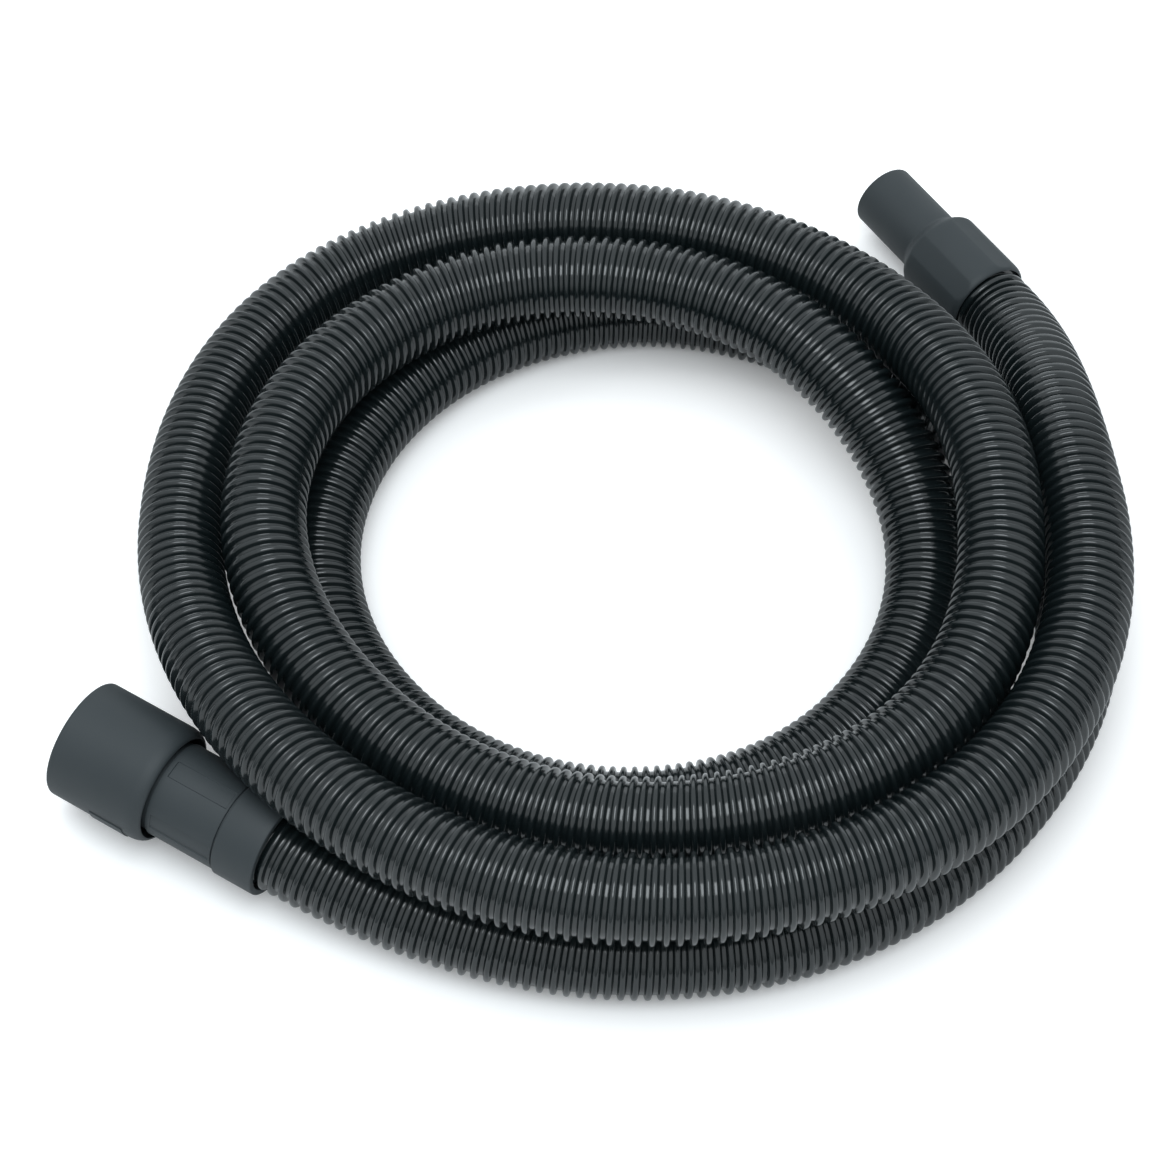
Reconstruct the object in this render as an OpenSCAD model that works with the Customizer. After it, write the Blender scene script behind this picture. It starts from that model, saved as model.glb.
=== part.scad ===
// Vacuum hose, laid on the floor in loose loops.
// A ribbed hose with a push-in connector on its machine end and a nozzle cuff on its tool end.
// Millimetres, +Z up. The origin is on the floor, under the middle of the whole lay.
// Each fitting is drawn upright on its own axis, from its hose end (z = 0) to its open mouth,
// and is then laid down on the floor at its place.

/* [Hose] */
// Outside diameter over the rib crests
hose_od = 46; // [44:0.5:46.5]
// Depth of the groove between two ribs
rib_depth = 2.2; // [1:0.1:2.2]
// Wall between the bore and the bottom of a groove
groove_wall = 1.8; // [1:0.1:4]
// Number of ribs
rib_count = 180; // [60:1:186]
// How far a hose end reaches into its fitting
hose_insert = 30; // [20:1:34]
// Straight run of hose behind the tool cuff
tool_run = 4; // [3:1:20]
// Straight run of hose behind the machine end
machine_run = 6; // [3:1:30]

/* [Bushes and seals] */
// Gap between the hose crests and the bush that they screw into
bush_gap = 0.1; // [0.05:0.05:0.5]
// Wall of a bush
bush_wall = 1.3; // [1.2:0.1:2]
// Length of the stop collar that the hose end butts against
bush_stop = 4; // [2:0.5:6]
// Radial running clearance between a bush and the cuff that turns on it
swivel_gap = 0.08; // [0.02:0.01:0.1]
// Axial play of a bush, and of the seal in front of it
end_play = 0.3; // [0.1:0.1:0.6]
// Thickness of a seal ring
seal_t = 2.4; // [1:0.1:4]
// Thickness of the shoulder that a seal ring lies against
shoulder_t = 2; // [1:0.5:4]
// Gap between a rear lip and the hose that comes out of it
lip_gap = 0.7; // [0.4:0.1:1.5]
// Thickness of a rear lip
lip_t = 4; // [2:0.5:6]

/* [Tool cuff] */
// Diameter of the nozzle
nozzle_od = 39; // [34:0.5:40]
// Wall of the nozzle
nozzle_wall = 2.2; // [1.5:0.1:4]
// Length of the nozzle
nozzle_len = 46; // [30:1:90]
// Length of the cone between grip and nozzle
cone_len = 10; // [6:0.5:20]
// Length of the grip
tool_grip_len = 46; // [44:1:80]
// Wall of the grip round its bush
tool_grip_wall = 1.52; // [1.2:0.02:4]
// Length of the rounded edge of the rear lip
tool_lip_round = 5; // [2:0.5:8]
// Width of a sunk grip panel, as an angle
tool_panel_a = 30; // [10:1:40]

/* [Machine cuff] */
// Wall of the grip round its bush
machine_grip_wall = 1.52; // [1.2:0.02:4]
// Wall of the cuff in front of its bush, and of its spigot
machine_wall = 3; // [2:0.1:5]
// Length of grip between the collar and the sleeve
machine_grip_len = 42; // [30:1:80]
// Width of a sunk grip panel, as an angle
machine_panel_a = 22; // [10:1:40]
// Depth of a sunk grip panel
panel_depth = 0.4; // [0.2:0.1:0.6]
// Number of sunk grip panels round each grip
panel_count = 5; // [3:1:8]
// Plain edge of a grip in front of or behind its panels
panel_margin = 2; // [1:0.5:6]
// Length of the collar behind the grip
collar_len = 24; // [20:0.5:30]
// Wall of the collar round its chamber
collar_wall = 1.4; // [1:0.1:3]
// Clearance of the cuff's short rear spigot in the collar
collar_gap = 0.05; // [0.02:0.01:0.1]
// Thickness of the bush's flange that the collar traps
flange_t = 3.5; // [2:0.5:5]
// How far that flange stands out from its bush
flange_reach = 1.2; // [1:0.1:3]
// Gap between that flange and the collar round it
flange_gap = 0.3; // [0.1:0.1:0.6]
// Parting line between the collar and the grip
parting_gap = 0.2; // [0.1:0.1:0.5]

/* [Adaptor sleeve] */
// Diameter of the sleeve
sleeve_od = 65; // [62:0.5:70]
// Length of the sleeve
sleeve_len = 57; // [45:1:90]
// Wall of the sleeve
sleeve_wall = 3; // [2:0.1:4]
// Length of the rounded rear shoulder
shoulder_len = 8; // [4:0.5:12]
// Clearance between the front of the grip and the rear of the sleeve
sleeve_gap = 0.3; // [0.2:0.1:2]
// Width of the open ring between the sleeve's shoulder and the spigot
ring_gap = 3.7; // [2:0.1:4.2]
// Depth of that open ring, from the rear of the sleeve to its web
ring_depth = 16; // [10:1:20]
// Thickness of the web that carries the socket
web_t = 3; // [2:0.5:5]
// Wall of the socket that holds the spigot
socket_wall = 1.6; // [1.2:0.1:2]
// Room between the socket and the wall of the sleeve
socket_room = 2.8; // [2:0.1:4]
// Length of the spigot inside the socket
socket_len = 24; // [15:1:26]
// Clearance round the spigot in the socket
socket_gap = 0.08; // [0.02:0.01:0.1]
// Thickness of the stop in front of the spigot
socket_stop = 2; // [1:0.5:4]
// Length of the low lug on the sleeve
lug_len = 20; // [10:1:22]
// Width of the lug, as an angle
lug_a = 25; // [10:1:60]
// Height of the lug
lug_height = 0.6; // [0.3:0.1:1.5]
// Distance from the rounded shoulder to the lug
lug_margin = 2; // [1:0.5:10]

/* [Hidden] */
$fn = 96;

// Colours
rubber_black = [0.09, 0.09, 0.10];
cuff_grey = [0.17, 0.18, 0.19];
bush_grey = [0.30, 0.30, 0.31];
felt_grey = [0.45, 0.45, 0.45];

// Overlap of a cut past the face that it opens, and of pieces of one moulding
eps = 0.01;
// Height of a fitting's lowest edge above the floor
floor_gap = 0.3;

// Radii from the hose outwards
hose_r = hose_od / 2;
bore_r = hose_r - rib_depth - groove_wall;
bush_bore_r = hose_r + bush_gap;
bush_r = bush_bore_r + bush_wall;
cuff_bore_r = bush_r + swivel_gap;
lip_r = hose_r + lip_gap;
tool_grip_r = cuff_bore_r + tool_grip_wall;
machine_grip_r = cuff_bore_r + machine_grip_wall;
flange_r = bush_r + flange_reach;
chamber_r = flange_r + flange_gap;
collar_r = chamber_r + collar_wall;

// Radii from the sleeve inwards
sleeve_r = sleeve_od / 2;
sleeve_inner_r = sleeve_r - sleeve_wall;
socket_out_r = sleeve_inner_r - socket_room;
socket_r = socket_out_r - socket_wall;
spigot_r = socket_r - socket_gap;
spigot_bore_r = spigot_r - machine_wall;
throat_r = spigot_r + ring_gap;

// Where the fittings lie: heading of the mouth, rise of the mouth, and the rear end's place.
// The tool cuff lies on its grip. The machine end lies on the shoulder of its sleeve.
tool_heading = 124;
tool_tilt = 0;
tool_rear = [226.4, 177.8, tool_grip_r + floor_gap];
machine_heading = 149.5;
machine_tilt = 3;
shoulder_z = collar_len + machine_grip_len + shoulder_len;
machine_rear_z = sleeve_r * cos(machine_tilt) - shoulder_z * sin(machine_tilt) + floor_gap;
machine_rear = [-160.3, -190.6, machine_rear_z];

// Turn of the grip panels and of the lug round their axes, from the underside
tool_panel_turn = 135.5;
machine_panel_turn = 104;
lug_turn = 72;

// Lengths along the tool cuff
tool_len = tool_grip_len + cone_len + nozzle_len;
tool_bush_z = lip_t + end_play;
tool_bush_end = tool_bush_z + hose_insert - lip_t + bush_stop;
tool_seal_z = tool_bush_end + end_play / 2;
tool_shoulder_z = tool_seal_z + seal_t + end_play / 2;

// Lengths along the machine cuff
machine_len = collar_len + machine_grip_len + sleeve_len;
sleeve_z = machine_len - sleeve_len;
grip_end_z = sleeve_z - sleeve_gap;
spigot_end_z = sleeve_z + ring_depth + web_t + socket_len;
machine_bush_z = lip_t + end_play;
flange_end_z = machine_bush_z + flange_t;
machine_bush_end = machine_bush_z + hose_insert - lip_t + bush_stop;
machine_seal_z = machine_bush_end + end_play / 2;
machine_shoulder_z = machine_seal_z + seal_t + end_play / 2;

// Profile points along an ellipse, both ends included
function arc_points(centre, radii, from, to, steps = 8) = [
    for (i = [0:steps])
        let (a = from + (to - from) * i / steps)
        [centre[0] + radii[0] * cos(a), centre[1] + radii[1] * sin(a)]
];

// ---- Lay of the hose ----------------------------------------------------------------------

// The loops turn clockwise, seen from above, round the coil's centre. Every 45 degrees of
// winding has its distance from that centre and the height of the hose's underside.
coil_centre = [17.7, 0.4];
station_turn = 45;
station_radius = [
    241, 260, 252, 240, 242, 251, 205, 196,
    195, 213, 200, 191, 195, 182, 154, 146,
    162, 164, 164, 165, 170, 173, 178, 191,
    241, 252, 248,
];
station_lift = [
    55, 65, 62, 54, 29, 16, 43, 47,
    67, 60, 48, 42, 51, 46, 53, 49,
    12, 0, 0, 0, 0, 0, 0, 0,
    0, 0, 0,
];
last_station = len(station_radius) - 1;
station_steps = 8;

// The section has eight sides and lies on one of them, cut flat by the floor
side_count = 8;
flat_cut = 0.5;
lay_height = hose_r * cos(180 / side_count) - flat_cut;

// Between a fitting and the coil the hose runs in a bow. Each of its two ends pulls it along
// that end's own direction, by this share of the distance between them.
bow_steps = 24;
tool_pulls = [0.18, 0.48];
machine_pulls = [0.36, 0.30];

function unit(v) = v / norm(v);
function heading_of(heading, tilt) =
    [cos(heading) * cos(tilt), sin(heading) * cos(tilt), sin(tilt)];

// Value between the stations: a Catmull-Rom curve through the list, at x stations along it
function station(list, i) =
    i < 0 ? 2 * list[0] - list[1] :
    i >= len(list) ? 2 * list[len(list) - 1] - list[len(list) - 2] :
    list[i];
function smooth(list, x) =
    let (i = min(floor(x), len(list) - 2), t = x - i)
    let (a = station(list, i - 1), b = station(list, i))
    let (c = station(list, i + 1), d = station(list, i + 2))
    0.5 * (2 * b + (c - a) * t + (2 * a - 5 * b + 4 * c - d) * t * t
        + (3 * b - a - 3 * c + d) * t * t * t);
function coil_point(x) =
    let (r = smooth(station_radius, x), turn = -station_turn * x)
    [coil_centre[0] + r * cos(turn), coil_centre[1] + r * sin(turn), smooth(station_lift, x) + lay_height];

// A bow from p heading p_dir to q heading q_dir, without its last point
function bow(p, p_dir, q, q_dir, pulls) =
    let (reach = pulls * norm(q - p), a = p + reach[0] * p_dir, b = q - reach[1] * q_dir)
    [for (i = [0:bow_steps - 1])
        let (t = i / bow_steps, s = 1 - t)
        s * s * s * p + 3 * s * s * t * a + 3 * s * t * t * b + t * t * t * q];

tool_dir = heading_of(tool_heading, tool_tilt);
machine_dir = heading_of(machine_heading, machine_tilt);
tool_hose_end = tool_rear + tool_dir * hose_insert;
machine_hose_end = machine_rear + machine_dir * hose_insert;
tool_lead = tool_rear - tool_dir * tool_run;
machine_lead = machine_rear - machine_dir * machine_run;

coil_run = [for (i = [0:last_station * station_steps]) coil_point(i / station_steps)];
coil_first = coil_run[0];
coil_last = coil_run[len(coil_run) - 1];
coil_first_dir = unit(coil_run[1] - coil_first);
coil_last_dir = unit(coil_last - coil_run[len(coil_run) - 2]);
route = concat(
    [tool_hose_end],
    bow(tool_lead, -tool_dir, coil_first, coil_first_dir, tool_pulls),
    [for (i = [0:len(coil_run) - 2]) coil_run[i]],
    bow(coil_last, coil_last_dir, machine_lead, machine_dir, machine_pulls),
    [machine_lead, machine_hose_end]
);

// Lengths along the route, and the point at a given length
function running(points, i = 1, sum = [0]) =
    i == len(points) ? sum :
    running(points, i + 1, concat(sum, [sum[i - 1] + norm(points[i] - points[i - 1])]));
route_at = running(route);
hose_length = route_at[len(route_at) - 1];
function segment_of(s, low = 0, high = len(route_at) - 1) =
    high - low <= 1 ? low :
    let (middle = floor((low + high) / 2))
    route_at[middle] <= s ? segment_of(s, middle, high) : segment_of(s, low, middle);
function along(s) =
    let (i = segment_of(min(max(s, 0), hose_length)))
    route[i] + (route[i + 1] - route[i]) * (s - route_at[i]) / (route_at[i + 1] - route_at[i]);

// ---- Ribbed tube --------------------------------------------------------------------------

// Crest and groove rings alternate outside. Inside, one ring stands under each crest.
outer_count = 2 * rib_count + 1;
outer_step = hose_length / (outer_count - 1);
inner_count = rib_count + 1;
inner_step = hose_length / (inner_count - 1);
tangent_reach = 3;

function axis_frame(s) =
    let (ahead = along(min(s + tangent_reach, hose_length)), back = along(max(s - tangent_reach, 0)))
    let (dir = unit(ahead - back), side = unit(cross([0, 0, 1], dir)))
    [along(s), side, cross(dir, side)];
function ring(s, r) =
    let (f = axis_frame(s))
    [for (k = [0:side_count - 1])
        let (a = (k + 0.5) * 360 / side_count)
        let (p = f[0] + r * cos(a) * f[1] + r * sin(a) * f[2])
        [p[0], p[1], max(p[2], 0)]];
function skin(first, rings, outward) = [
    for (i = [0:rings - 2])
        for (k = [0:side_count - 1])
            let (a = first + i * side_count + k, b = first + i * side_count + (k + 1) % side_count)
            let (c = a + side_count, d = b + side_count)
            each outward ? [[a, c, b], [b, c, d]] : [[a, b, c], [b, d, c]]
];
function rim(outer, inner, start) = [
    for (k = [0:side_count - 1])
        let (a = outer + k, b = outer + (k + 1) % side_count)
        let (c = inner + k, d = inner + (k + 1) % side_count)
        each start ? [[a, b, c], [b, d, c]] : [[a, c, b], [b, c, d]]
];

outer_points = [
    for (i = [0:outer_count - 1])
        each ring(i * outer_step, i % 2 == 0 ? hose_r : hose_r - rib_depth)
];
inner_points = [
    for (i = [0:inner_count - 1])
        each ring(i * inner_step, bore_r)
];
outer_total = len(outer_points);
hose_faces = concat(
    skin(0, outer_count, true),
    skin(outer_total, inner_count, false),
    rim(0, outer_total, true),
    rim((outer_count - 1) * side_count, outer_total + (inner_count - 1) * side_count, false)
);

// Least gap of the hose to itself, between axis points more than three diameters apart
gap_step = 12;
gap_points = [for (s = [0:gap_step:hose_length]) along(s)];
gap_skip = ceil(3 * hose_od / gap_step);
least_gap = min([
    for (i = [0:len(gap_points) - 1])
        for (j = [i + gap_skip:len(gap_points) - 1])
            norm(gap_points[i] - gap_points[j])
]) - hose_od;
echo(hose_length = hose_length, least_gap = least_gap);

module hose() {
    color(rubber_black)
        polyhedron(concat(outer_points, inner_points), hose_faces, convexity = 10);
}

// ---- Fittings -----------------------------------------------------------------------------

// Lays a fitting down: its upright axis turns to the heading and the tilt
module laid(rear, heading, tilt) {
    translate(rear)
        rotate([0, 90 - tilt, heading])
            children();
}
module at_tool_end() {
    laid(tool_rear, tool_heading, tool_tilt)
        children();
}
module at_machine_end() {
    laid(machine_rear, machine_heading, machine_tilt)
        children();
}

module ring_solid(z, length, r_out, r_in) {
    translate([0, 0, z])
        difference() {
            cylinder(h = length, r = r_out);
            translate([0, 0, -eps])
                cylinder(h = length + 2 * eps, r = r_in);
        }
}

// Shallow sunk panels round a grip
module panel_cuts(grip_r, from_z, to_z, panel_a, turn) {
    for (i = [0:panel_count - 1])
        rotate([0, 0, turn - panel_a / 2 + i * 360 / panel_count])
            rotate_extrude(angle = panel_a)
                translate([grip_r - panel_depth, from_z])
                    square([2 * panel_depth, to_z - from_z]);
}

// Bush that the hose end is screwed into: bore for the crests, then a stop as wide as the bore
module bush(start_z, end_z) {
    difference() {
        ring_solid(start_z, end_z - start_z, bush_r, bore_r);
        translate([0, 0, start_z - eps])
            cylinder(h = end_z - bush_stop - start_z + eps, r = bush_bore_r);
    }
}

module tool_bush() {
    color(bush_grey)
        at_tool_end()
            bush(tool_bush_z, tool_bush_end);
}

module tool_seal() {
    color(felt_grey)
        at_tool_end()
            ring_solid(tool_seal_z, seal_t, bush_r, bore_r);
}

// Nozzle, cone and grip in one moulding, with a lip that snaps over the bush
module tool_cuff() {
    nozzle_r = nozzle_od / 2;
    nozzle_bore_r = nozzle_r - nozzle_wall;
    nozzle_z = tool_grip_len + cone_len;
    rim_r = nozzle_wall / 2;
    cone_steps = 12;
    cone = [
        for (i = [0:cone_steps])
            let (t = i / cone_steps)
            [tool_grip_r + (nozzle_r - tool_grip_r) * t * t * (3 - 2 * t), tool_grip_len + cone_len * t]
    ];
    outside = concat(
        arc_points([lip_r, tool_lip_round], [tool_grip_r - lip_r, tool_lip_round], -90, 0),
        cone,
        arc_points([nozzle_r - rim_r, tool_len - rim_r], [rim_r, rim_r], 0, 180)
    );
    inside = [
        [nozzle_bore_r, nozzle_z],
        [bore_r, tool_shoulder_z + shoulder_t],
        [bore_r, tool_shoulder_z],
        [cuff_bore_r, tool_shoulder_z],
        [cuff_bore_r, lip_t],
        [lip_r, lip_t],
    ];
    color(cuff_grey)
        at_tool_end()
            difference() {
                rotate_extrude()
                    polygon(concat(outside, inside));
                panel_cuts(tool_grip_r, tool_lip_round + panel_margin, tool_grip_len - panel_margin,
                    tool_panel_a, tool_panel_turn);
            }
}

module machine_bush() {
    color(bush_grey)
        at_machine_end() {
            bush(machine_bush_z, machine_bush_end);
            ring_solid(machine_bush_z, flange_t, flange_r, bush_r - eps);
        }
}

module machine_seal() {
    color(felt_grey)
        at_machine_end()
            ring_solid(machine_seal_z, seal_t, bush_r, bore_r);
}

// Grip with a narrower spigot in front, and a short one behind that the collar is pushed onto
module machine_cuff() {
    grip_bore_r = machine_grip_r - machine_wall;
    rear_z = flange_end_z + end_play;
    grip_z = collar_len + parting_gap;
    profile = [
        [chamber_r - collar_gap, rear_z],
        [chamber_r - collar_gap, grip_z],
        [machine_grip_r, grip_z],
        [machine_grip_r, grip_end_z],
        [spigot_r, grip_end_z],
        [spigot_r, spigot_end_z],
        [spigot_bore_r, spigot_end_z],
        [spigot_bore_r, grip_end_z],
        [grip_bore_r, grip_end_z - machine_wall],
        [grip_bore_r, machine_shoulder_z + shoulder_t],
        [bore_r, machine_shoulder_z + shoulder_t],
        [bore_r, machine_shoulder_z],
        [cuff_bore_r, machine_shoulder_z],
        [cuff_bore_r, rear_z],
    ];
    color(cuff_grey)
        at_machine_end()
            difference() {
                rotate_extrude()
                    polygon(profile);
                panel_cuts(machine_grip_r, collar_len + panel_margin, grip_end_z - panel_margin,
                    machine_panel_a, machine_panel_turn);
            }
}

// Plain band that traps the bush's flange behind its lip
module machine_collar() {
    color(cuff_grey)
        at_machine_end()
            difference() {
                ring_solid(0, collar_len, collar_r, lip_r);
                translate([0, 0, lip_t])
                    cylinder(h = collar_len, r = chamber_r);
            }
}

// Sleeve: an outer wall with a rounded shoulder, and a web with the socket for the spigot
module adaptor_sleeve() {
    web_z = sleeve_z + ring_depth;
    stop_z = spigot_end_z + end_play;
    rim_r = sleeve_wall / 2;
    lug_root = sleeve_wall / 2;
    wall = concat(
        arc_points([throat_r, sleeve_z + shoulder_len], [sleeve_r - throat_r, shoulder_len], -90, 0),
        arc_points([sleeve_r - rim_r, machine_len - rim_r], [rim_r, rim_r], 0, 180),
        [[sleeve_inner_r, web_z + web_t], [throat_r, web_z]]
    );
    socket = [
        [sleeve_inner_r + eps, web_z],
        [sleeve_inner_r + eps, web_z + web_t],
        [socket_out_r, web_z + web_t],
        [socket_out_r, stop_z + socket_stop],
        [spigot_bore_r, stop_z + socket_stop],
        [spigot_bore_r, stop_z],
        [socket_r, stop_z],
        [socket_r, web_z],
    ];
    color(cuff_grey)
        at_machine_end() {
            rotate_extrude()
                polygon(wall);
            rotate_extrude()
                polygon(socket);
            rotate([0, 0, lug_turn - lug_a / 2])
                rotate_extrude(angle = lug_a)
                    translate([sleeve_r - lug_root, sleeve_z + shoulder_len + lug_margin])
                        square([lug_root + lug_height, lug_len]);
        }
}

hose();
tool_bush();
tool_seal();
tool_cuff();
machine_bush();
machine_seal();
machine_cuff();
machine_collar();
adaptor_sleeve();
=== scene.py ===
"""Vacuum hose: a ribbed hose laid in loose loops, with its two end fittings.

Everything is in metres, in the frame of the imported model. Lengths named _MM are millimetres,
as in the model's own source, and are turned into metres where a mesh is made.
"""
import math

import bpy
import numpy as np
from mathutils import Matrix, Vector


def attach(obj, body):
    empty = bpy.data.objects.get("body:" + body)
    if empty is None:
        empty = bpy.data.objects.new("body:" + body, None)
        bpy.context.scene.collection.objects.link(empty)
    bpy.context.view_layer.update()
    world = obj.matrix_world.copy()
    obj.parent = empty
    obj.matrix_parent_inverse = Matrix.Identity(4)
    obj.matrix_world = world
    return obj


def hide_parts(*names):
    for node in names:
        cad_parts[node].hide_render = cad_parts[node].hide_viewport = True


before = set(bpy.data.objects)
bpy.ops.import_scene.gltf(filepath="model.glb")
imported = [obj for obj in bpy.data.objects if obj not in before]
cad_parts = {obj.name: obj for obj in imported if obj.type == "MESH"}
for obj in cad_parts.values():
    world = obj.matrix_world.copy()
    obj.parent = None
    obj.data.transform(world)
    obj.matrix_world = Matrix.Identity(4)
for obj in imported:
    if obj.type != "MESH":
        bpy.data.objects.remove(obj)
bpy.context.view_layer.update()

MM = 0.001
IMAGE_PX = 1176

# ---- Route of the hose, as the model's source has it ---------------------------------------

# Distance from the coil's centre, and height of the hose's underside, every 45 degrees
COIL_CENTRE_MM = (17.7, 0.4)
STATION_TURN = 45
STATION_RADIUS_MM = [
    241, 260, 252, 240, 242, 251, 205, 196,
    195, 213, 200, 191, 195, 182, 154, 146,
    162, 164, 164, 165, 170, 173, 178, 191,
    241, 252, 248,
]
STATION_LIFT_MM = [
    55, 65, 62, 54, 29, 16, 43, 47,
    67, 60, 48, 42, 51, 46, 53, 49,
    12, 0, 0, 0, 0, 0, 0, 0,
    0, 0, 0,
]
HOSE_OD_MM = 46
HOSE_ID_MM = 38
HOSE_INSERT_MM = 30
TOOL_RUN_MM = 4
MACHINE_RUN_MM = 6
LAY_HEIGHT_MM = HOSE_OD_MM / 2 * math.cos(math.pi / 8) - 0.5
# How far the two bows reach along their end directions, as shares of their span
TOOL_PULLS = (0.18, 0.48)
MACHINE_PULLS = (0.36, 0.30)
# Points on each stretch of the route
POINTS_PER_STATION = 48
TOOL_BOW_POINTS = 60
MACHINE_BOW_POINTS = 40


def heading(angle, tilt):
    """Unit vector that points along a heading, raised by a tilt, both in degrees."""
    a, t = math.radians(angle), math.radians(tilt)
    return np.array([math.cos(a) * math.cos(t), math.sin(a) * math.cos(t), math.sin(t)])


# Fittings: rear end on the axis, and the direction from there to the mouth
TOOL_LEN_MM = 102
TOOL_AZIMUTH = 124
TOOL_TILT = 0
TOOL_DIR = heading(TOOL_AZIMUTH, TOOL_TILT)
TOOL_REAR_MM = np.array([226.4, 177.8, 26.3])
MACHINE_AZIMUTH = 149.5
MACHINE_TILT = 3
MACHINE_DIR = heading(MACHINE_AZIMUTH, MACHINE_TILT)
SLEEVE_R_MM = 32.5
SLEEVE_SHOULDER_MM = 74
FLOOR_GAP_MM = 0.3
MACHINE_REAR_Z_MM = (
    SLEEVE_R_MM * math.cos(math.radians(MACHINE_TILT))
    - SLEEVE_SHOULDER_MM * math.sin(math.radians(MACHINE_TILT))
    + FLOOR_GAP_MM
)
MACHINE_REAR_MM = np.array([-160.3, -190.6, MACHINE_REAR_Z_MM])


def station(values, i):
    """Value i of a list of stations, carried on straight past both ends."""
    if i < 0:
        return 2 * values[0] - values[1]
    if i >= len(values):
        return 2 * values[-1] - values[-2]
    return values[i]


def smooth(values, x):
    """Catmull-Rom curve through the stations, x stations along it."""
    i = min(int(x), len(values) - 2)
    t = x - i
    a, b, c, d = (station(values, i + k) for k in (-1, 0, 1, 2))
    return 0.5 * (
        2 * b
        + (c - a) * t
        + (2 * a - 5 * b + 4 * c - d) * t**2
        + (3 * b - a - 3 * c + d) * t**3
    )


def coil_point(x):
    """Point of the coil, x stations from its start, in millimetres."""
    r = smooth(STATION_RADIUS_MM, x)
    turn = math.radians(-STATION_TURN * x)
    return np.array(
        [
            COIL_CENTRE_MM[0] + r * math.cos(turn),
            COIL_CENTRE_MM[1] + r * math.sin(turn),
            smooth(STATION_LIFT_MM, x) + LAY_HEIGHT_MM,
        ]
    )


def bow(p, p_dir, q, q_dir, pulls, steps):
    """Bow from p heading p_dir to q heading q_dir, without its last point."""
    span = np.linalg.norm(q - p)
    a, b = p + pulls[0] * span * p_dir, q - pulls[1] * span * q_dir
    points = []
    for i in range(steps):
        t = i / steps
        s = 1 - t
        points.append(s**3 * p + 3 * s * s * t * a + 3 * s * t * t * b + t**3 * q)
    return points


def hose_route():
    """The hose's centreline from end to end, in millimetres, a point every few millimetres."""
    count = (len(STATION_RADIUS_MM) - 1) * POINTS_PER_STATION
    coil = [coil_point(i / POINTS_PER_STATION) for i in range(count + 1)]
    first_dir = (coil[1] - coil[0]) / np.linalg.norm(coil[1] - coil[0])
    last_dir = (coil[-1] - coil[-2]) / np.linalg.norm(coil[-1] - coil[-2])
    tool_end = TOOL_REAR_MM + TOOL_DIR * HOSE_INSERT_MM
    tool_lead = TOOL_REAR_MM - TOOL_DIR * TOOL_RUN_MM
    machine_end = MACHINE_REAR_MM + MACHINE_DIR * HOSE_INSERT_MM
    machine_lead = MACHINE_REAR_MM - MACHINE_DIR * MACHINE_RUN_MM
    return np.array(
        [tool_end]
        + bow(tool_lead, -TOOL_DIR, coil[0], first_dir, TOOL_PULLS, TOOL_BOW_POINTS)
        + coil[:-1]
        + bow(coil[-1], last_dir, machine_lead, MACHINE_DIR, MACHINE_PULLS, MACHINE_BOW_POINTS)
        + [machine_lead, machine_end]
    )


def lengths_along(points):
    """Running length at each point of a line."""
    return np.concatenate([[0], np.cumsum(np.linalg.norm(np.diff(points, axis=0), axis=1))])


def resampled(points, at):
    """The line's points at the given lengths."""
    run = lengths_along(points)
    return np.stack([np.interp(at, run, points[:, k]) for k in range(3)], axis=-1)


# ---- Camera --------------------------------------------------------------------------------

CAMERA_ELEVATION = 53.5
CAMERA_DISTANCE = 1.7
CAMERA_PX_PER_M = 1840
SENSOR_MM = 36
# The point that the camera aims at, and where it comes in the picture
AIM = Vector((COIL_CENTRE_MM[0] * MM, COIL_CENTRE_MM[1] * MM, 0.040))
AIM_PX = (629, 534)


def make_camera():
    """The photo's camera, as fitted to the outlines of the coil and both ends."""
    data = bpy.data.cameras.new("camera")
    data.sensor_width = SENSOR_MM
    data.lens = CAMERA_PX_PER_M * CAMERA_DISTANCE * data.sensor_width / IMAGE_PX
    data.shift_x = (IMAGE_PX / 2 - AIM_PX[0]) / IMAGE_PX
    data.shift_y = (AIM_PX[1] - IMAGE_PX / 2) / IMAGE_PX
    data.clip_end = 50
    camera = bpy.data.objects.new("camera", data)
    bpy.context.scene.collection.objects.link(camera)
    e = math.radians(CAMERA_ELEVATION)
    back = Vector((0, -math.cos(e), math.sin(e)))
    camera.location = AIM + back * CAMERA_DISTANCE
    camera.rotation_euler = (-back).to_track_quat("-Z", "Y").to_euler()
    bpy.context.scene.camera = camera


make_camera()

# ---- Materials -----------------------------------------------------------------------------


def new_material(name, colour, roughness, specular=0.5):
    """A principled material with its plain values, and its node tools."""
    material = bpy.data.materials.new(name)
    material.use_nodes = True
    nodes, links = material.node_tree.nodes, material.node_tree.links
    shader = nodes["Principled BSDF"]
    shader.inputs["Base Color"].default_value = (*colour, 1)
    shader.inputs["Roughness"].default_value = roughness
    shader.inputs["Specular IOR Level"].default_value = specular
    return material, nodes, links, shader


def add_noise(nodes, links, scale, detail=2, roughness=0.5):
    """Noise in object space."""
    coords = nodes.new("ShaderNodeTexCoord")
    noise = nodes.new("ShaderNodeTexNoise")
    noise.inputs["Scale"].default_value = scale
    noise.inputs["Detail"].default_value = detail
    noise.inputs["Roughness"].default_value = roughness
    links.new(coords.outputs["Object"], noise.inputs["Vector"])
    return noise


def add_range(nodes, links, source, low, high):
    """Maps a 0 to 1 value to a range."""
    span = nodes.new("ShaderNodeMapRange")
    span.inputs["To Min"].default_value = low
    span.inputs["To Max"].default_value = high
    links.new(source, span.inputs["Value"])
    return span.outputs["Result"]


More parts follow.
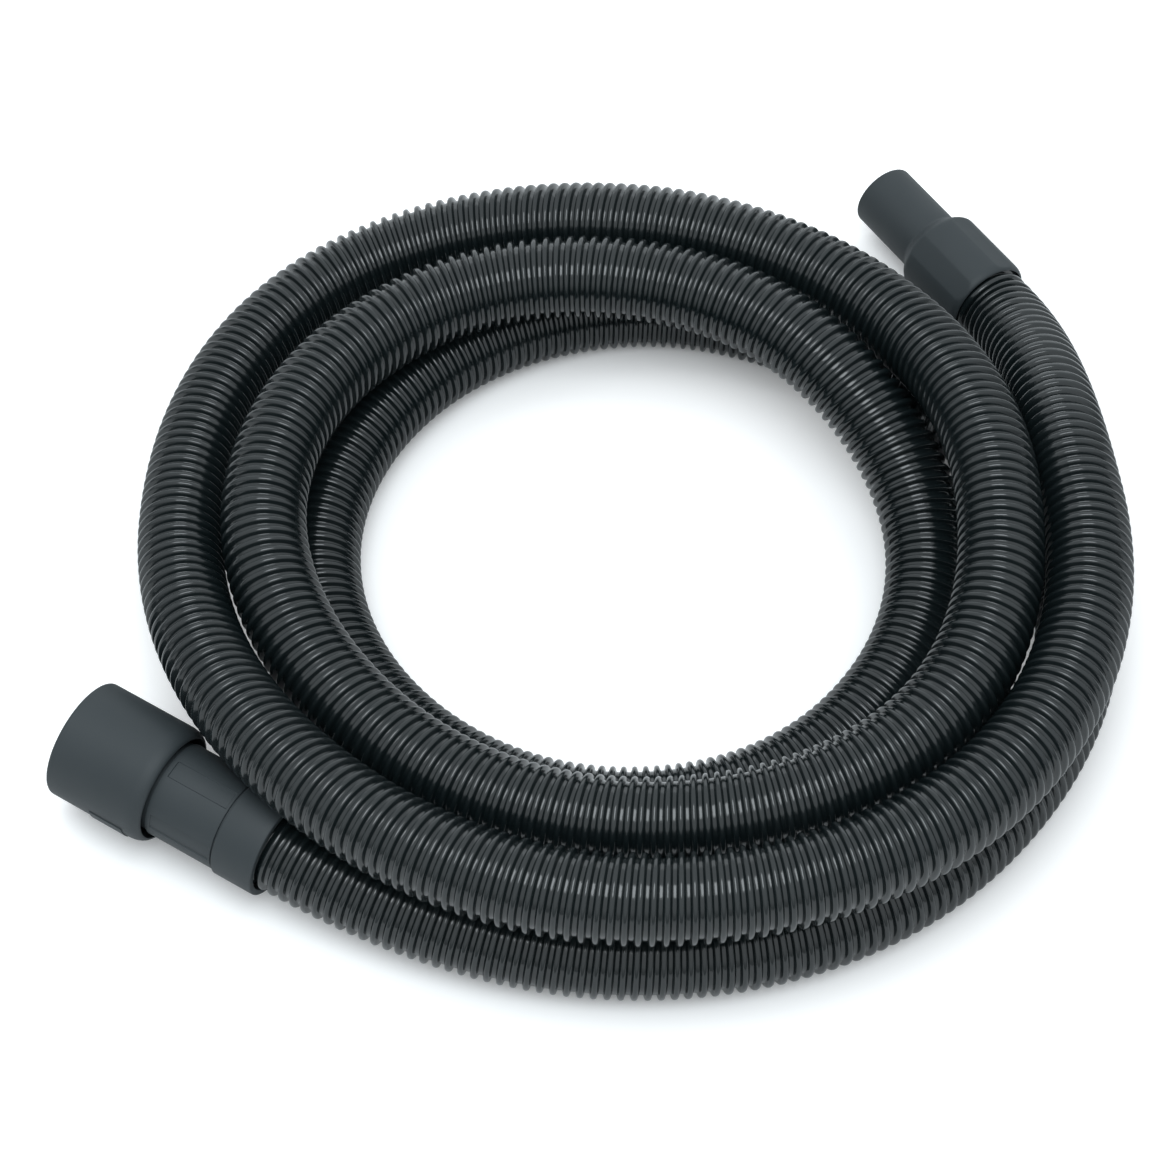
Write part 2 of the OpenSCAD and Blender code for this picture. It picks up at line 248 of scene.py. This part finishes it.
def add_bump(nodes, links, shader, height, strength, distance):
    """Bump of a given height in metres."""
    bump = nodes.new("ShaderNodeBump")
    bump.inputs["Strength"].default_value = strength
    bump.inputs["Distance"].default_value = distance
    links.new(height, bump.inputs["Height"])
    links.new(bump.outputs["Normal"], shader.inputs["Normal"])


def mottled_colour(nodes, links, shader, noise, dark, light):
    """Base colour that wanders between two near tones."""
    ramp = nodes.new("ShaderNodeValToRGB")
    ramp.color_ramp.elements[0].color = (*dark, 1)
    ramp.color_ramp.elements[0].position = 0.3
    ramp.color_ramp.elements[1].color = (*light, 1)
    ramp.color_ramp.elements[1].position = 0.7
    links.new(noise.outputs["Fac"], ramp.inputs["Fac"])
    links.new(ramp.outputs["Color"], shader.inputs["Base Color"])


def hose_material():
    """Black hose plastic: a soft sheen with faint flow marks from extrusion."""
    material, nodes, links, shader = new_material("hose_plastic", (0.007, 0.011, 0.012), 0.15, 0.7)
    broad = add_noise(nodes, links, scale=18, detail=3)
    mottled_colour(nodes, links, shader, broad, (0.006, 0.010, 0.011), (0.009, 0.013, 0.014))
    fine = add_noise(nodes, links, scale=420, detail=3, roughness=0.6)
    links.new(
        add_range(nodes, links, fine.outputs["Fac"], 0.10, 0.20), shader.inputs["Roughness"]
    )
    grain = add_noise(nodes, links, scale=900)
    add_bump(nodes, links, shader, grain.outputs["Fac"], strength=0.12, distance=0.0002)
    return material


def cuff_material():
    """Charcoal cuff plastic: matte, with a fine spark-eroded grain."""
    material, nodes, links, shader = new_material("cuff_plastic", (0.032, 0.040, 0.044), 0.55, 0.45)
    broad = add_noise(nodes, links, scale=25, detail=3)
    mottled_colour(nodes, links, shader, broad, (0.030, 0.038, 0.042), (0.034, 0.042, 0.046))
    wear = add_noise(nodes, links, scale=60, detail=4, roughness=0.6)
    links.new(
        add_range(nodes, links, wear.outputs["Fac"], 0.5, 0.62), shader.inputs["Roughness"]
    )
    grain = add_noise(nodes, links, scale=1400)
    add_bump(nodes, links, shader, grain.outputs["Fac"], strength=0.2, distance=0.0001)
    return material


def inner_material(name, colour, roughness):
    """Plain inner plastic or rubber with a light grain."""
    material, nodes, links, shader = new_material(name, colour, roughness)
    grain = add_noise(nodes, links, scale=1100, detail=3)
    links.new(
        add_range(nodes, links, grain.outputs["Fac"], roughness - 0.06, roughness + 0.06),
        shader.inputs["Roughness"],
    )
    add_bump(nodes, links, shader, grain.outputs["Fac"], strength=0.2, distance=0.0001)
    return material


HOSE_PLASTIC = hose_material()
CUFF_PLASTIC = cuff_material()
BUSH_PLASTIC = inner_material("bush_plastic", (0.03, 0.03, 0.031), roughness=0.5)
SEAL_RUBBER = inner_material("seal_rubber", (0.02, 0.02, 0.02), roughness=0.8)

# ---- Mesh helpers --------------------------------------------------------------------------


def new_piece(name, points, faces, material, body):
    """Object from points in metres and quads, that rides on a body."""
    mesh = bpy.data.meshes.new(name)
    points = np.asarray(points, dtype=np.float32)
    faces = np.asarray(faces, dtype=np.int32)
    mesh.vertices.add(len(points))
    mesh.vertices.foreach_set("co", points.ravel())
    mesh.loops.add(faces.size)
    mesh.loops.foreach_set("vertex_index", faces.ravel())
    mesh.polygons.add(len(faces))
    mesh.polygons.foreach_set("loop_start", np.arange(0, faces.size, 4, dtype=np.int32))
    mesh.update(calc_edges=True)
    mesh.validate()
    mesh.polygons.foreach_set("use_smooth", np.ones(len(faces), dtype=bool))
    mesh.materials.append(material)
    piece = bpy.data.objects.new(name, mesh)
    bpy.context.scene.collection.objects.link(piece)
    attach(piece, body)
    return piece


def ring_quads(first, second, sides, outward=True):
    """Quads between two rings of as many points."""
    k = np.arange(sides)
    n = (k + 1) % sides
    order = (
        [first + k, first + n, second + n, second + k]
        if outward
        else [first + k, second + k, second + n, first + n]
    )
    return np.stack(order, axis=-1)


# ---- Hose ----------------------------------------------------------------------------------

RIB_PITCH_MM = 6.35
# Behind the tool cuff the hose is drawn out: pitch there, and where it comes back to normal
DRAWN_PITCH_MM = 7.7
DRAWN_MM = (120, 200)
RIB_DEPTH_MM = 2.9
SIDES = 56
# Rings of the bore, places where the hose's own directions are worked out, and places where
# the turns of the rib are counted
BORE_RINGS = 720
FRAME_STEPS = 1600
TURN_STEPS = 4000
# The rib is one long helix. Its profile runs from groove to groove: places along the pitch,
# and heights over the bottom of the groove as shares of its depth.
RIB_PROFILE = [
    (-0.500, 0.000),
    (-0.395, 0.000),
    (-0.345, 0.030),
    (-0.305, 0.140),
    (-0.215, 0.760),
    (-0.170, 0.880),
    (-0.095, 0.970),
    (0.000, 1.000),
    (0.095, 0.970),
    (0.170, 0.880),
    (0.215, 0.760),
    (0.305, 0.140),
    (0.345, 0.030),
    (0.395, 0.000),
]


def frames_along(points):
    """Side and up vectors that turn with a line but never roll over."""
    ahead = np.gradient(points, axis=0)
    ahead /= np.linalg.norm(ahead, axis=1)[:, None]
    side = np.cross([0, 0, 1], ahead)
    side /= np.linalg.norm(side, axis=1)[:, None]
    return side, np.cross(ahead, side)


def tube_points(line, at, angle, radius):
    """Points round a line at lengths, angles and radii, kept above the floor."""
    even = np.linspace(0, lengths_along(line)[-1], FRAME_STEPS)
    side_even, up_even = frames_along(resampled(line, even))
    side = np.stack([np.interp(at, even, side_even[:, k]) for k in range(3)], axis=-1)
    up = np.stack([np.interp(at, even, up_even[:, k]) for k in range(3)], axis=-1)
    points = (
        resampled(line, at)
        + (radius * np.cos(angle))[:, None] * side
        + (radius * np.sin(angle))[:, None] * up
    )
    points[:, 2] = np.maximum(points[:, 2], 0)
    return points


def pitch_at(at):
    """Pitch of the rib at lengths along the hose."""
    t = np.clip((at - DRAWN_MM[0]) / (DRAWN_MM[1] - DRAWN_MM[0]), 0, 1)
    return DRAWN_PITCH_MM + (RIB_PITCH_MM - DRAWN_PITCH_MM) * t * t * (3 - 2 * t)


def rib_turns(length):
    """Turns of the rib up to each of many lengths along the hose, and those lengths."""
    at = np.linspace(0, length, TURN_STEPS)
    pitch = pitch_at(at)
    turns = np.cumsum(np.diff(at) * 2 / (pitch[1:] + pitch[:-1]))
    return np.concatenate([[0], turns]), at


def helix_skin(line, length):
    """Outside of the hose: columns of profile points, one turn of the rib after the other."""
    places, heights = np.array(RIB_PROFILE).T
    rows = len(RIB_PROFILE)
    turns, lengths = rib_turns(length)
    columns = np.arange(-SIDES, (int(turns[-1]) + 2) * SIDES + 1)
    crest = np.interp(columns / SIDES + 0.5, turns, lengths)
    # Where the hose is drawn out the crest is broader, and the groove as narrow as elsewhere
    wider = (pitch_at(crest) - RIB_PITCH_MM) / 2
    at = crest[:, None] + places * RIB_PITCH_MM + np.sign(places) * wider[:, None]
    at = np.clip(at, 0, length)
    angle = np.repeat(-columns[:, None] * 2 * math.pi / SIDES, rows, axis=1)
    radius = HOSE_OD_MM / 2 - RIB_DEPTH_MM * (1 - heights)
    points = tube_points(line, at.ravel(), angle.ravel(), np.tile(radius, len(columns)))
    # Quads within each column, then those from its last row to the first row of the next turn
    first = (np.arange(len(columns) - 1)[:, None] * rows + np.arange(rows - 1)[None, :]).ravel()
    within = np.stack([first, first + 1, first + rows + 1, first + rows], axis=-1)
    last = np.arange(len(columns) - 1 - SIDES) * rows + rows - 1
    turn = SIDES * rows - rows + 1
    between = np.stack([last, last + turn, last + turn + rows, last + rows], axis=-1)
    return points, np.concatenate([within, between])


def ring_skin(line, at, radii):
    """Plain tube through rings of their own radii, facing inwards."""
    angle = np.arange(SIDES) * 2 * math.pi / SIDES
    points = tube_points(
        line, np.repeat(at, SIDES), np.tile(angle, len(at)), np.repeat(radii, SIDES)
    )
    faces = [
        ring_quads(i * SIDES, (i + 1) * SIDES, SIDES, outward=False) for i in range(len(at) - 1)
    ]
    return points, np.concatenate(faces)


def make_hose():
    """Ribbed outside, bore and end faces in one mesh, laid along its route."""
    line = hose_route()
    length = lengths_along(line)[-1]
    outer, outer_faces = helix_skin(line, length)
    # The bore, and the end faces from it out to the bottom of the groove
    end_radius = HOSE_OD_MM / 2 - RIB_DEPTH_MM
    bore_at = np.concatenate([[0], np.linspace(0, length, BORE_RINGS), [length]])
    bore_radii = np.full(len(bore_at), HOSE_ID_MM / 2)
    bore_radii[[0, -1]] = end_radius
    inner, inner_faces = ring_skin(line, bore_at, bore_radii)
    points = np.concatenate([outer, inner]) * MM
    faces = np.concatenate([outer_faces, inner_faces + len(outer)])
    hose = new_piece("ribbed_hose", points, faces, HOSE_PLASTIC, "hose")
    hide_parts("hose")


# ---- Fittings ------------------------------------------------------------------------------

# Radii, and places along the axis from the rear end, as in the model's source
BORE_R_MM = HOSE_ID_MM / 2
LIP_R_MM = 23.7
BUSH_BORE_R_MM = 24.48
GRIP_R_MM = 26
LIP_MM = 4
SEAL_SHOULDER_MM = 41.3
# Tool cuff
LIP_ROUND_MM = 5
TOOL_GRIP_END_MM = 46
NOZZLE_START_MM = 56
NOZZLE_R_MM = 19.5
NOZZLE_WALL_MM = 2.2
# Machine cuff and its collar
COLLAR_R_MM = 27.3
COLLAR_LEN_MM = 24
CHAMBER_R_MM = 25.9
SOCKET_START_MM = 8.1
SOCKET_R_MM = 25.85
NECK_MM = (24.2, 25.3)
NECK_R_MM = 25.2
MACHINE_GRIP_END_MM = 65.7
SPIGOT_R_MM = 25.02
SPIGOT_BORE_R_MM = 22.02
SPIGOT_END_MM = 109
WEB_R_MM = 23

# Grip panels, with their width and the turn of the first in degrees: flats on the tool cuff,
# sunk fields on the machine cuff
PANEL_COUNT = 5
FLAT_WIDTH = 30
FLAT_TURN = 135.5
FIELD_WIDTH = 22
FIELD_TURN = 104
FIELD_MM = (26.8, 62.5)
FIELD_DEPTH_MM = 0.6
# Run of the slope at a field's edges, in degrees round the grip and in mm along it
FIELD_EDGE = 0.8
FIELD_EDGE_MM = 0.4
# Angle between the even lines round a fitting, that of the two lines on either side of each
# panel edge from it, and how far the even lines stay from those two
LATHE_STEP = 3
EDGE_STEP = 0.4
EDGE_CLEAR = 1
# Edges that turn more than this many degrees stay crisp
SHARP_ANGLE = 32


def arc(centre, radii, start, end, steps=5):
    """Points (along, radius) on an ellipse, angle 0 outwards and 90 towards the mouth."""
    angles = np.radians(np.linspace(start, end, steps + 1))
    return [
        (centre[0] + radii[0] * math.sin(a), centre[1] + radii[1] * math.cos(a)) for a in angles
    ]


def off_panel(angle, turn):
    """Angle from the middle of the nearest panel."""
    pitch = 360 / PANEL_COUNT
    return np.abs((angle - turn + pitch / 2) % pitch - pitch / 2)


def tool_flats(along, radius, angle):
    """Grip surface cut by its flats."""
    off = off_panel(angle, FLAT_TURN)
    flat = GRIP_R_MM * math.cos(math.radians(FLAT_WIDTH / 2)) / np.cos(np.radians(off))
    cut = (off < FLAT_WIDTH / 2) & (radius > BUSH_BORE_R_MM + 0.1)
    return np.where(cut, np.minimum(radius, flat), radius)


def machine_fields(along, radius, angle):
    """Grip surface with its sunk fields."""
    off = off_panel(angle, FIELD_TURN)
    inside = (
        np.clip((FIELD_WIDTH / 2 - off) / FIELD_EDGE + 0.5, 0, 1)
        * np.clip((along - FIELD_MM[0]) / FIELD_EDGE_MM + 0.5, 0, 1)
        * np.clip((FIELD_MM[1] - along) / FIELD_EDGE_MM + 0.5, 0, 1)
    )
    return np.where(radius > GRIP_R_MM - 0.01, radius - FIELD_DEPTH_MM * inside, radius)


def plain_round(along, radius, angle):
    """Surface without panels."""
    return radius


def lathe_angles(width, turn):
    """Angles round a fitting, close together at the edges of its panels."""
    edges = [
        (turn + side * width / 2 + i * 360 / PANEL_COUNT + step) % 360
        for i in range(PANEL_COUNT)
        for side in (-1, 1)
        for step in (-EDGE_STEP, EDGE_STEP)
    ]
    even = [
        a
        for a in np.arange(0, 360, LATHE_STEP)
        if min(abs((a - e + 180) % 360 - 180) for e in edges) > EDGE_CLEAR
    ]
    return np.array(sorted(even + edges))


TOOL_PLACE = (TOOL_REAR_MM, TOOL_AZIMUTH, TOOL_TILT)
MACHINE_PLACE = (MACHINE_REAR_MM, MACHINE_AZIMUTH, MACHINE_TILT)


def make_fitting(name, node, body, loop, shape, angles, place):
    """Closed profile (along, radius) turned round a fitting's axis and laid in its place.

    Angle 0 is the underside and 90 the left side, seen from behind the fitting.
    """
    rear, azimuth, tilt = place
    loop = np.array(loop)
    along = np.repeat(loop[:, 0], len(angles))
    angle = np.tile(angles, len(loop))
    radius = shape(along, np.repeat(loop[:, 1], len(angles)), angle)
    ahead, left = heading(azimuth, tilt), heading(azimuth + 90, 0)
    down = np.cross(left, ahead)
    a = np.radians(angle)
    points = (
        rear
        + along[:, None] * ahead
        + (radius * np.cos(a))[:, None] * down
        + (radius * np.sin(a))[:, None] * left
    ) * MM
    count = len(loop)
    faces = np.concatenate(
        [
            ring_quads(i * len(angles), (i + 1) % count * len(angles), len(angles))
            for i in range(count)
        ]
    )
    piece = new_piece(name, points, faces, CUFF_PLASTIC, body)
    piece.data.set_sharp_from_angle(angle=math.radians(SHARP_ANGLE))
    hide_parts(node)


def make_tool_cuff():
    """Fluted grip, cone and nozzle in one moulding."""
    wall = NOZZLE_WALL_MM
    drop = NOZZLE_R_MM - GRIP_R_MM
    cone = [
        (
            TOOL_GRIP_END_MM + (NOZZLE_START_MM - TOOL_GRIP_END_MM) * t,
            GRIP_R_MM + drop * t * t * (3 - 2 * t),
        )
        for t in np.linspace(0, 1, 13)[1:-1]
    ]
    loop = (
        arc((LIP_ROUND_MM, LIP_R_MM), (LIP_ROUND_MM, GRIP_R_MM - LIP_R_MM), -90, 0, 8)
        + [(TOOL_GRIP_END_MM - 3, GRIP_R_MM), (TOOL_GRIP_END_MM, GRIP_R_MM)]
        + cone
        + [(NOZZLE_START_MM, NOZZLE_R_MM)]
        + arc((TOOL_LEN_MM - wall / 2, NOZZLE_R_MM - wall / 2), (wall / 2, wall / 2), 0, 180, 8)
        + [(NOZZLE_START_MM, NOZZLE_R_MM - wall), (SEAL_SHOULDER_MM + 2, BORE_R_MM)]
        + [(SEAL_SHOULDER_MM, BORE_R_MM), (SEAL_SHOULDER_MM, BUSH_BORE_R_MM)]
        + [(LIP_MM, BUSH_BORE_R_MM), (LIP_MM, LIP_R_MM)]
    )
    angles = lathe_angles(FLAT_WIDTH, FLAT_TURN)
    make_fitting(
        "tool_cuff_shell", "tool_cuff", "tool_cuff", loop, tool_flats, angles, TOOL_PLACE
    )


def make_machine_cuff():
    """Fluted grip and spigot. A shallow neck next to the collar makes the parting line."""
    grip_end = MACHINE_GRIP_END_MM
    # Rings of the grip, close together where its fields start and end
    grip_rings = (26.6, 27.0, 35, 45, 55, 62.3, 62.7)
    loop = (
        [(SOCKET_START_MM, SOCKET_R_MM), (NECK_MM[0], SOCKET_R_MM)]
        + [(NECK_MM[0], NECK_R_MM), (NECK_MM[1], NECK_R_MM), (25.4, 25.7), (25.7, GRIP_R_MM)]
        + [(z, GRIP_R_MM) for z in grip_rings]
        + arc((grip_end - 0.6, GRIP_R_MM - 0.6), (0.6, 0.6), 0, 90, 4)
        + [(grip_end, SPIGOT_R_MM), (SPIGOT_END_MM, SPIGOT_R_MM)]
        + [(SPIGOT_END_MM, SPIGOT_BORE_R_MM), (grip_end, SPIGOT_BORE_R_MM)]
        + [(grip_end - 3, WEB_R_MM), (SEAL_SHOULDER_MM + 2, WEB_R_MM)]
        + [(SEAL_SHOULDER_MM + 2, BORE_R_MM), (SEAL_SHOULDER_MM, BORE_R_MM)]
        + [(SEAL_SHOULDER_MM, BUSH_BORE_R_MM), (SOCKET_START_MM, BUSH_BORE_R_MM)]
    )
    angles = lathe_angles(FIELD_WIDTH, FIELD_TURN)
    make_fitting(
        "machine_cuff_shell",
        "machine_cuff",
        "machine_cuff",
        loop,
        machine_fields,
        angles,
        MACHINE_PLACE,
    )


def make_collar():
    """Plain band behind the grip, with rounded ends and a lip round the hose."""
    loop = (
        arc((0.8, COLLAR_R_MM - 0.8), (0.8, 0.8), -90, 0)
        + arc((COLLAR_LEN_MM - 0.5, COLLAR_R_MM - 0.5), (0.5, 0.5), 0, 90)
        + [(COLLAR_LEN_MM, CHAMBER_R_MM), (LIP_MM, CHAMBER_R_MM)]
        + [(LIP_MM, LIP_R_MM), (0.5, LIP_R_MM), (0, LIP_R_MM + 0.4)]
    )
    angles = np.arange(0, 360, LATHE_STEP)
    make_fitting(
        "machine_collar_band",
        "machine_collar",
        "machine_cuff",
        loop,
        plain_round,
        angles,
        MACHINE_PLACE,
    )


make_tool_cuff()
make_hose()
make_machine_cuff()
make_collar()

# ---- Floor and light -----------------------------------------------------------------------

# Brightness of the studio by height: dim at the horizon, even above it
SKY_STOPS = [(0.50, 0.35), (0.60, 0.48), (0.70, 0.80), (1.00, 0.90)]
# Tint of the lamps and the studio: cool daylight
LIGHT_TINT = (0.93, 1.0, 1.04)
# Light that the camera sees on open floor beyond what falls on it
FLOOR_LIFT = 0.55
# Floor this far from anything counts as open
OPEN_FLOOR_M = 0.06
FLOOR_HALF_M = 6
FLOOR_DROP_M = 0.0005


def make_floor():
    """Pale floor, that the camera sees white where nothing stands near."""
    mesh = bpy.data.meshes.new("floor")
    corners = [(-1, -1), (1, -1), (1, 1), (-1, 1)]
    mesh.from_pydata(
        [(x * FLOOR_HALF_M, y * FLOOR_HALF_M, 0) for x, y in corners], [], [(0, 1, 2, 3)]
    )
    floor = bpy.data.objects.new("floor", mesh)
    bpy.context.scene.collection.objects.link(floor)
    floor.location.z = -FLOOR_DROP_M
    material, nodes, links, shader = new_material("floor_white", (0.86, 0.86, 0.86), 0.8, 0.2)
    # Open floor is lifted to white for the camera alone, and stays dark in gaps and under things
    path = nodes.new("ShaderNodeLightPath")
    open_sky = nodes.new("ShaderNodeAmbientOcclusion")
    open_sky.samples = 4
    open_sky.inputs["Distance"].default_value = OPEN_FLOOR_M
    lift = nodes.new("ShaderNodeMath")
    lift.operation = "MULTIPLY"
    links.new(path.outputs["Is Camera Ray"], lift.inputs[0])
    links.new(open_sky.outputs["AO"], lift.inputs[1])
    shader.inputs["Emission Color"].default_value = (1, 1, 1, 1)
    strength = add_range(nodes, links, lift.outputs[0], 0, FLOOR_LIFT)
    links.new(strength, shader.inputs["Emission Strength"])
    mesh.materials.append(material)


def make_area(name, place, aim, size, radiance):
    """Softbox of a given size and brightness, turned to what it aims at."""
    data = bpy.data.lights.new(name, "AREA")
    data.shape = "RECTANGLE"
    data.size, data.size_y = size
    data.energy = radiance * math.pi * size[0] * size[1]
    data.color = LIGHT_TINT
    lamp = bpy.data.objects.new(name, data)
    lamp.location = place
    lamp.rotation_euler = (Vector(aim) - Vector(place)).to_track_quat("-Z", "Y").to_euler()
    bpy.context.scene.collection.objects.link(lamp)


def make_world():
    """Studio whose brightness follows the height of the direction looked in."""
    world = bpy.data.worlds.new("world")
    world.use_nodes = True
    nodes, links = world.node_tree.nodes, world.node_tree.links
    coords = nodes.new("ShaderNodeTexCoord")
    height = nodes.new("ShaderNodeSeparateXYZ")
    half = nodes.new("ShaderNodeMath")
    half.operation = "MULTIPLY_ADD"
    half.inputs[1].default_value = 0.5
    half.inputs[2].default_value = 0.5
    ramp = nodes.new("ShaderNodeValToRGB")
    stops = ramp.color_ramp.elements
    while len(stops) < len(SKY_STOPS):
        stops.new(0.5)
    for stop, (place, level) in zip(stops, SKY_STOPS):
        stop.position = place
        stop.color = (*(level * tint for tint in LIGHT_TINT), 1)
    links.new(coords.outputs["Generated"], height.inputs["Vector"])
    links.new(height.outputs["Z"], half.inputs[0])
    links.new(half.outputs[0], ramp.inputs["Fac"])
    links.new(ramp.outputs["Color"], nodes["Background"].inputs["Color"])
    bpy.context.scene.world = world


make_floor()
make_world()
make_area("top_box", (-0.09, -0.5, 1.7), aim=(-0.09, -0.5, 0), size=(0.85, 1.0), radiance=4.0)
make_area("rear_box", (0.1, 2.6, 0.75), aim=(0.1, 0, 0.75), size=(3.0, 1.5), radiance=0.6)

# ---- Closing -------------------------------------------------------------------------------

bpy.context.scene.view_settings.view_transform = "Standard"


def assign(node, material):
    """Gives a carried-over node its finish."""
    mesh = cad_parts[node].data
    mesh.materials.clear()
    mesh.materials.append(material)


assign("adaptor_sleeve", CUFF_PLASTIC)
for node in ("tool_bush", "machine_bush"):
    assign(node, BUSH_PLASTIC)
for node in ("tool_seal", "machine_seal"):
    assign(node, SEAL_RUBBER)
